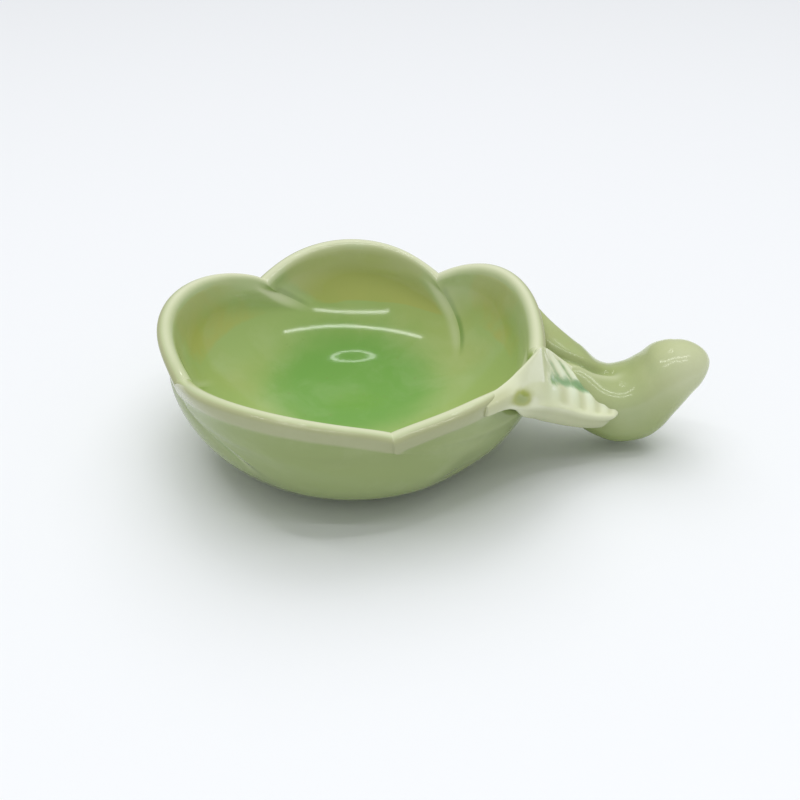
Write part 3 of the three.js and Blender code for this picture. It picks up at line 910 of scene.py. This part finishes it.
def tube_faces(rings, points):
    """Quads between closed rings of points, ring after ring."""
    ring, point = np.meshgrid(np.arange(rings - 1), np.arange(points), indexing="ij")
    here = ring * points + point
    side = ring * points + (point + 1) % points
    return np.stack([here, side, side + points, here + points], -1).reshape(-1, 4)


def leaf_face(along, across):
    """Points of the leaf's face, in mm, at rows along it and places across each row."""
    rows = through(np.swapaxes(LEAF_RAILS, 0, 1), along)
    return np.stack([through(row, places) for row, places in zip(rows, across)])


def leaf_normals(along, across):
    step = 1e-3
    side = leaf_face(along, across + step) - leaf_face(along, across - step)
    run = leaf_face(np.minimum(along + step, 1), across) - leaf_face(np.maximum(along - step, 0), across)
    normal = np.cross(side, run)
    return normal / np.linalg.norm(normal, axis=-1, keepdims=True)


def vein_beats(u, v, start, slant, count, crowd):
    run = u - slant * v - start
    return count * run + crowd * run**2


def leaf_relief(u, v):
    """Veins slant off a sunken midrib, closer together towards the leaf's end, over a rolled margin."""
    off = v - np.interp(u, *MIDRIB_LINE)
    beats = np.where(off < 0, vein_beats(u, v, *UPPER_VEINS), vein_beats(u, v, *LOWER_VEINS))
    wave = 0.5 + 0.5 * np.cos(math.tau * beats)
    area = between(u, *VEINS_ALONG) * between(v, *VEINS_ACROSS)
    vein = area * wave
    midrib = between(u, *MIDRIB_ALONG) * bell(off / MIDRIB_WIDTH)
    root = ease(v, *ROOT_ACROSS) * (1 - ease(u, *ROOT_ALONG))
    return {
        "vein": vein,
        "sunk": vein + midrib,
        "midrib": np.maximum(midrib, VEIN_DARK * vein**2 * (off < 0)),
        "ridge": area * (1 - wave) * bell(off / RIDGE_REACH),
        "margin": ease(v, *MARGIN_ACROSS) * ease(u, *MARGIN_ALONG) + root,
        "dip": bell((u - DIP_PLACE[0]) / DIP_SIZE[0]) * bell((v - DIP_PLACE[1]) / DIP_SIZE[1]),
        "crest": bell((v - CREST_PLACE) / CREST_WIDTH) * ease(u, *CREST_ALONG),
    }


def leaf_points(dish):
    """The leaf as closed rings across it from the rim to its end, and what the glaze does on it."""
    along = np.linspace(0, 1, LEAF_ROWS + 1)
    turn = np.linspace(0, math.tau, LEAF_COLUMNS, endpoint=False)
    u, v = np.meshgrid(along, 0.5 - 0.5 * np.cos(turn), indexing="ij")
    end = np.sqrt(1 - np.clip((u - 1 + LEAF_ROUND) / LEAF_ROUND, 0, 1) ** 2)
    v = 0.5 + (v - 0.5) * (LEAF_END_WIDTH + (1 - LEAF_END_WIDTH) * end)
    relief = leaf_relief(u, v)

    face = np.sin(turn)[None, :]
    round_off = np.sign(face) * np.abs(face) ** LEAF_EDGE_POWER * end * ease(u, *LEAF_START)
    half = 0.5 * dish.leaf_thickness / MM * (1 + MARGIN_SWELL * relief["margin"])
    carved = relief["sunk"] * dish.vein_depth / MM + DIP_DEPTH * relief["dip"]
    front = half * round_off + CREST_HEIGHT * relief["crest"] - carved
    under = half + UNDER_FILL * (1 - ease(v, *UNDER_ACROSS)) * ease(u, *UNDER_ALONG)
    lift = np.where(face > 0, front, under * round_off) - half
    points = leaf_face(along, v) + leaf_normals(along, v) * lift[..., None]
    shown = ("vein", "midrib", "ridge", "margin", "dip")
    attributes = {name: np.where(face > 0, relief[name], 0).ravel() for name in shown}
    return points * MM + np.array([AXIS.x, AXIS.y, 0]), attributes


# Materials


def shader_tree(name):
    material = bpy.data.materials.new(name)
    material.use_nodes = True
    tree = material.node_tree
    tree.nodes.clear()
    surface = tree.nodes.new("ShaderNodeBsdfPrincipled")
    output = tree.nodes.new("ShaderNodeOutputMaterial")
    tree.links.new(surface.outputs[0], output.inputs[0])
    return material, tree, surface


def read(tree, name):
    node = add_node(tree, "ShaderNodeAttribute", attribute_name=name)
    return Field(tree, node.outputs["Fac"])


def noise(tree, scale, detail=3.0, roughness=0.5, distortion=0.0):
    place = add_node(tree, "ShaderNodeTexCoord").outputs["Object"]
    inputs = {"Vector": place, "Scale": scale, "Detail": detail, "Roughness": roughness}
    node = add_node(tree, "ShaderNodeTexNoise", {**inputs, "Distortion": distortion})
    return Field(tree, node.outputs["Fac"])


def lay_color(tree, base, *layers):
    """Lays colours over a base, each with the share of it that covers."""
    below = (*base, 1)
    for share, color in layers:
        node = add_node(tree, "ShaderNodeMix", data_type="RGBA")
        sockets = [socket for socket in node.inputs if socket.enabled]
        for socket, value in zip(sockets, (share, below, (*color, 1))):
            plug(tree, value, socket)
        below = next(socket for socket in node.outputs if socket.enabled)
    return below


def celadon_glaze(name, looks, roughness):
    """Glaze thin and pale over edges, pooled green in hollows and the well, with painted shade."""
    material, tree, surface = shader_tree(name)
    cloud = noise(tree, scale=95.0, detail=4.0, roughness=0.55, distortion=0.6)
    drift = noise(tree, scale=42.0, detail=2.0)
    blotch = noise(tree, scale=70.0, detail=5.0, roughness=0.6, distortion=0.4).smooth(0.45, 0.7)
    cup = (read(tree, "cup") + (cloud - 0.5) * 0.5).smooth(0.35, 0.6)
    olive = (cup + (drift - 0.45).smooth(0.0, 0.25) * 0.35).clip()
    pool = (read(tree, "pool") + (cloud - 0.5) * 0.3).smooth(0.15, 0.95)
    speck = noise(tree, scale=700.0, detail=1.0).smooth(0.7, 0.78) * pool
    groove = (read(tree, "groove") * (cloud * 2.0).clip()).smooth(0.1, 0.9)
    band = (read(tree, "band") + (cloud - 0.5) * 0.3).smooth(0.1, 0.9)
    thin = (read(tree, "thin") + read(tree, "ridge") * 0.4 + blotch * 0.08).clip()
    color = lay_color(
        tree,
        looks.wall_glaze,
        (olive, looks.olive_glaze),
        # painted shade: the outside and the stem darken towards the outer glaze
        (read(tree, "shade"), looks.outer_glaze_and_shade),
        (pool, looks.pool_glaze),
        (speck * 0.5, looks.crease_glaze_and_shade),
        # the groove attribute also carries painted shade: the line beside the leaf's root and the stem's
        # underside
        (groove * 0.9, looks.crease_glaze_and_shade),
        (band * 0.75, looks.band_glaze),
        (thin, looks.thin_glaze),
    )
    plug(tree, color, surface.inputs["Base Color"])
    surface.inputs["Roughness"].default_value = roughness
    surface.inputs["IOR"].default_value = 1.5
    ripple = add_node(tree, "ShaderNodeBump", {"Height": noise(tree, scale=160.0, detail=2.0)})
    ripple.inputs["Strength"].default_value = 0.04
    ripple.inputs["Distance"].default_value = 0.5 * MM
    tree.links.new(ripple.outputs[0], surface.inputs["Normal"])
    return material


def leaf_glaze(looks):
    """Pale glaze that runs aqua into the leaf's veins."""
    material, tree, surface = shader_tree("leaf_glaze")
    cloud = noise(tree, scale=110.0)
    blotch = noise(tree, scale=260.0, detail=4.0, roughness=0.6)
    vein = (read(tree, "vein") + (cloud - 0.5) * 0.3).smooth(0.2, 1.1)
    midrib = (read(tree, "midrib") + (blotch - 0.5) * 1.6).smooth(0.2, 1.1)
    dip = read(tree, "dip") + (cloud - 0.5) * 0.4
    color = lay_color(
        tree,
        looks.leaf_glaze,
        (cloud.smooth(0.35, 0.7), looks.thin_glaze),
        (read(tree, "margin") * 0.8, looks.margin_glaze),
        (vein * 0.6, looks.margin_glaze),
        (read(tree, "ridge") * 0.9, looks.ridge_glaze),
        (midrib, looks.vein_glaze),
        (dip.smooth(0.1, 0.55), looks.olive_glaze),
        (dip.smooth(0.3, 1.0) * 0.45, looks.crease_glaze_and_shade),
    )
    plug(tree, color, surface.inputs["Base Color"])
    surface.inputs["Roughness"].default_value = 0.1
    return material


def bare_clay(looks):
    """Unglazed, slightly rough fired clay."""
    material, tree, surface = shader_tree("bare_clay")
    dark = tuple(0.8 * value for value in looks.clay)
    color = lay_color(tree, looks.clay, (noise(tree, scale=900.0), dark))
    plug(tree, color, surface.inputs["Base Color"])
    surface.inputs["Roughness"].default_value = 0.8
    return material


def plain_floor():
    material, _, surface = shader_tree("pale_table")
    surface.inputs["Base Color"].default_value = TABLE_COLOR
    surface.inputs["Roughness"].default_value = 0.6
    surface.inputs["Specular IOR Level"].default_value = 0.0
    return material


def add_strips(scene, name, line, width, power):
    """Thin lamps that face down, end to end along a line."""
    for k, (here, there) in enumerate(zip(line, line[1:])):
        run = there - here
        lamp = bpy.data.lights.new(f"{name}_{k + 1}", "AREA")
        lamp.shape = "RECTANGLE"
        lamp.size = run.length
        lamp.size_y = width
        lamp.energy = power * run.length * width * math.pi
        strip = bpy.data.objects.new(lamp.name, lamp)
        strip.location = (here + there) / 2
        strip.rotation_euler = (0, 0, math.atan2(run.y, run.x))
        scene.collection.objects.link(strip)


# Properties, operators and panel


def length(name, millimetres, description):
    return FloatProperty(name=name, description=description, default=millimetres * MM, unit="LENGTH")


def tint(name, color, description):
    return FloatVectorProperty(name=name, description=description, default=color, subtype="COLOR")


def fraction(name, value, description):
    return FloatProperty(name=name, description=description, default=value, min=0, max=1, subtype="FACTOR")


class DishSizes(bpy.types.PropertyGroup):
    petal_radius: length("Petal Radius", 46, "Bowl axis to the outside of a petal")
    notch_radius: length("Notch Radius", 43, "Bowl axis to where two petals cross")
    petal_height: length("Petal Height", 32.5, "Table to the top of a petal")
    edge_height: length("Edge Height", 25, "Table to a petal's corner")
    base_radius: length("Base Radius", 24, "Flat underside of the well")
    wall_lean: FloatProperty(
        name="Wall Lean", description="How upright the rim is", default=math.radians(80), subtype="ANGLE"
    )
    well_wall: length("Well Wall", 5, "Thickness at the well")
    rim_wall: length("Rim Wall", 3.4, "Thickness at the rim")
    rim_cap: length("Rim Cap", 1.3, "Height of the rim's rounding")
    rim_soften: length("Rim Soften", 1.2, "How far the rim's inner edge is rounded off")
    lip: length("Lip", 0.3, "How far the rim's lip stands out")
    leaf_seat: length("Leaf Seat", 2.2, "How far the rim gives way under the leaf")
    lap_reach: length("Lap Reach", 9, "How far a free edge is felt over its petal")
    lap_edge: length("Lap Edge", 4, "Rounding of a petal's free edge")
    lap_hollow: length("Lap Hollow", 7, "Width of the hollow beside a free edge")
    floor_sag: length("Floor Sag", 3.1, "How far the floor dips")
    well_fill: length("Well Fill", 3.05, "More clay where the floor curves up")
    fill_ease: length("Fill Ease", 0.75, "Less of it at the floor's edge")
    root_height: length("Root Height", 19.5, "Table to the middle of the stem's root")
    root_half_width: length("Root Half Width", 12, "Half the root's width on the wall")
    root_half_height: length("Root Half Height", 9, "Half the root's height on the wall")
    root_pull: length("Root Pull", 11, "How far the root runs along the wall")
    neck_pull: length("Neck Pull", 12, "How far the neck runs back to the root")
    dome: length("Dome", 5.4, "Length of the stem's round tip")
    groove_depth: length("Groove Depth", 1.6, "Groove between the stem's strands")
    strand_swell: length("Strand Swell", 0.9, "How full the strand beside the groove is")
    leaf_thickness: length("Leaf Thickness", 2, "Leaf away from its margin")
    vein_depth: length("Vein Depth", 0.3, "Depth of the leaf's veins")
    foot_width: length("Foot Width", 4, "Width of the ring it stands on")
    foot_round: length("Foot Round", 0.6, "Rounding of the ring's edges")


class DishLooks(bpy.types.PropertyGroup):
    thin_glaze: tint("Thin Glaze", (0.72, 0.76, 0.52), "Over edges")
    wall_glaze: tint("Wall Glaze", (0.355, 0.485, 0.155), "On the walls")
    olive_glaze: tint("Olive Glaze", (0.41, 0.455, 0.12), "In clouds on the walls")
    pool_glaze: tint("Pool Glaze", (0.17, 0.375, 0.065), "Pooled in the well")
    # the outside's glaze, darkened to paint the shade on the outside and on the stem
    outer_glaze_and_shade: tint("Outer Glaze", (0.31, 0.39, 0.14), "On the outside")
    band_glaze: tint("Band Glaze", (0.46, 0.47, 0.28), "Under the rim outside")
    # crease glaze, also used as painted shade beside the leaf's root and under the stem
    crease_glaze_and_shade: tint("Crease Glaze", (0.19, 0.31, 0.06), "Run into the creases")
    leaf_glaze: tint("Leaf Glaze", (0.74, 0.78, 0.55), "On the leaf")
    ridge_glaze: tint("Ridge Glaze", (0.82, 0.90, 0.70), "On the ridges between the leaf's veins")
    margin_glaze: tint("Margin Glaze", (0.55, 0.58, 0.34), "On the leaf's rolled margin")
    vein_glaze: tint("Vein Glaze", (0.27, 0.44, 0.22), "Run into the leaf's veins")
    clay: tint("Clay", (0.60, 0.52, 0.38), "Bare ring under the dish")
    bowl_roughness: fraction("Bowl Roughness", 0.09, "Of the bowl's glaze")
    stem_roughness: fraction("Stem Roughness", 0.15, "Of the stem's glaze")


class DISH_OT_bowl(bpy.types.Operator):
    """Grows the petal bowl"""

    bl_idname = "dish.bowl"
    bl_label = "Petal Bowl"

    def execute(self, context):
        looks = context.scene.dish_looks
        sizes = labelled(context.scene.dish_sizes, BOWL_SIZES)
        shape = BowlShape(sizes)
        material = celadon_glaze("petal_glaze", looks, looks.bowl_roughness)
        tree = finish_tree(shape.tree, shape.mesh, shape.place, shape.glaze(), material, flip=True)
        bowl = grow_piece("glazed_bowl", tree, sizes)
        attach(bowl, "root")
        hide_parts(*(f"petal_{k + 1}" for k in range(PETALS)), "well")
        return {"FINISHED"}


class DISH_OT_stem(bpy.types.Operator):
    """Grows the stem out of the bowl's wall"""

    bl_idname = "dish.stem"
    bl_label = "Stem"

    def execute(self, context):
        bowl = bpy.data.objects.get("glazed_bowl")
        if bowl is None:
            raise RuntimeError("the stem grows on the bowl, so the bowl comes first")
        looks = context.scene.dish_looks
        sizes = labelled(context.scene.dish_sizes, STEM_SIZES)
        shape = StemShape(sizes, bowl)
        material = celadon_glaze("stem_glaze", looks, looks.stem_roughness)
        tree = finish_tree(shape.tree, shape.mesh, shape.place, shape.glaze(), material, flip=False)
        stem = grow_piece("glazed_stem", tree, sizes, stem_path())
        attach(stem, "root")
        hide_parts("stem")
        return {"FINISHED"}


class DISH_OT_leaf(bpy.types.Operator):
    """Lays the leaf from the rim over the stem's root"""

    bl_idname = "dish.leaf"
    bl_label = "Leaf"

    def execute(self, context):
        points, attributes = leaf_points(context.scene.dish_sizes)
        rings, count = points.shape[:2]
        faces = [tuple(face) for face in tube_faces(rings, count)]
        faces.append(tuple(range(count - 1, -1, -1)))
        faces.append(tuple(range((rings - 1) * count, rings * count)))
        glaze = leaf_glaze(context.scene.dish_looks)
        leaf = mesh_piece("glazed_leaf", points.reshape(-1, 3), faces, glaze, attributes)
        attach(leaf, "root")
        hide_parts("leaf")
        return {"FINISHED"}


class DISH_OT_foot(bpy.types.Operator):
    """Turns the ring that the dish stands on"""

    bl_idname = "dish.foot"
    bl_label = "Foot Ring"

    def execute(self, context):
        dish = context.scene.dish_sizes
        turn = np.linspace(0, math.tau, FOOT_POINTS, endpoint=False) + math.pi / FOOT_POINTS
        middle = (FOOT_HIGH.x - FOOT_LOW.x) / 2 - dish.foot_width / 2
        inner_half = dish.foot_width / 2 - dish.foot_round
        radius = middle + np.sign(np.cos(turn)) * inner_half + np.cos(turn) * dish.foot_round
        lift = np.where(np.sin(turn) > 0, FOOT_HEIGHT, dish.foot_round + np.sin(turn) * dish.foot_round)
        angle = np.linspace(0, math.tau, FOOT_COLUMNS, endpoint=False)[:, None]
        x = AXIS.x + np.cos(angle) * radius
        y = AXIS.y + np.sin(angle) * radius
        points = np.stack([x, y, np.broadcast_to(lift, x.shape)], -1)
        faces = tube_faces(FOOT_COLUMNS + 1, FOOT_POINTS) % (FOOT_COLUMNS * FOOT_POINTS)
        foot = mesh_piece("bare_foot", points.reshape(-1, 3), faces, bare_clay(context.scene.dish_looks), {})
        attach(foot, "root")
        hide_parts("foot_ring")
        return {"FINISHED"}


class DISH_OT_stage(bpy.types.Operator):
    """Sets the table, the lights and the camera"""

    bl_idname = "dish.stage"
    bl_label = "Stage"

    def execute(self, context):
        scene = context.scene
        scene.view_settings.view_transform = "Standard"
        bpy.ops.mesh.primitive_plane_add(size=TABLE_SIZE)
        table = context.active_object
        table.name = "table"
        table.data.materials.append(plain_floor())

        world = bpy.data.worlds.new("studio")
        world.use_nodes = True
        world.node_tree.nodes["Background"].inputs["Color"].default_value = (1, 1, 1, 1)
        world.node_tree.nodes["Background"].inputs["Strength"].default_value = SKY_STRENGTH
        scene.world = world

        key = bpy.data.objects.new("key", bpy.data.lights.new("key", "SUN"))
        key.data.energy = KEY_STRENGTH
        key.data.angle = KEY_SPREAD
        key.rotation_euler = (KEY_TILT, 0, 0)
        key.visible_glossy = False
        scene.collection.objects.link(key)
        for name, place, extent, bow, power in STRIPS:
            shares = [2 * k / STRIP_PARTS - 1 for k in range(STRIP_PARTS + 1)]
            line = [Vector(place) + Vector((share * extent / 2, share * share * bow, 0)) for share in shares]
            add_strips(scene, name, line, STRIP_WIDTH, power)
        turns = [math.tau * k / RING_LAMPS for k in range(RING_LAMPS + 1)]
        spots = [Vector((math.cos(turn) * RING_RADIUS, math.sin(turn) * RING_RADIUS, 0)) for turn in turns]
        add_strips(scene, "ring", [Vector(RING_PLACE) + spot for spot in spots], RING_WIDTH, RING_POWER)

        camera = bpy.data.objects.new("camera", bpy.data.cameras.new("camera"))
        camera.data.sensor_width = CAMERA_SENSOR
        camera.data.lens = CAMERA_LENS
        camera.data.clip_start = CAMERA_CLIP
        camera.location = CAMERA_PLACE
        camera.rotation_euler = CAMERA_TURN
        scene.collection.objects.link(camera)
        scene.camera = camera
        return {"FINISHED"}


class DISH_PT_panel(bpy.types.Panel):
    bl_idname = "DISH_PT_panel"
    bl_label = "Petal Sauce Dish"
    bl_space_type = "VIEW_3D"
    bl_region_type = "UI"
    bl_category = "Dish"

    def draw(self, context):
        for group in (context.scene.dish_sizes, context.scene.dish_looks):
            for name in group.bl_rna.properties.keys():
                if name not in ("rna_type", "name"):
                    self.layout.prop(group, name)
        for operator in OPERATORS:
            self.layout.operator(operator.bl_idname)


OPERATORS = (DISH_OT_bowl, DISH_OT_stem, DISH_OT_leaf, DISH_OT_foot, DISH_OT_stage)
CLASSES = (DishSizes, DishLooks, *OPERATORS, DISH_PT_panel)


def register():
    for item in CLASSES:
        bpy.utils.register_class(item)
    bpy.types.Scene.dish_sizes = PointerProperty(type=DishSizes)
    bpy.types.Scene.dish_looks = PointerProperty(type=DishLooks)


def unregister():
    del bpy.types.Scene.dish_looks
    del bpy.types.Scene.dish_sizes
    for item in reversed(CLASSES):
        bpy.utils.unregister_class(item)


def main():
    register()
    bpy.ops.dish.bowl()
    bpy.ops.dish.stem()
    bpy.ops.dish.leaf()
    bpy.ops.dish.foot()
    bpy.ops.dish.stage()


if __name__ == "__main__":
    main()
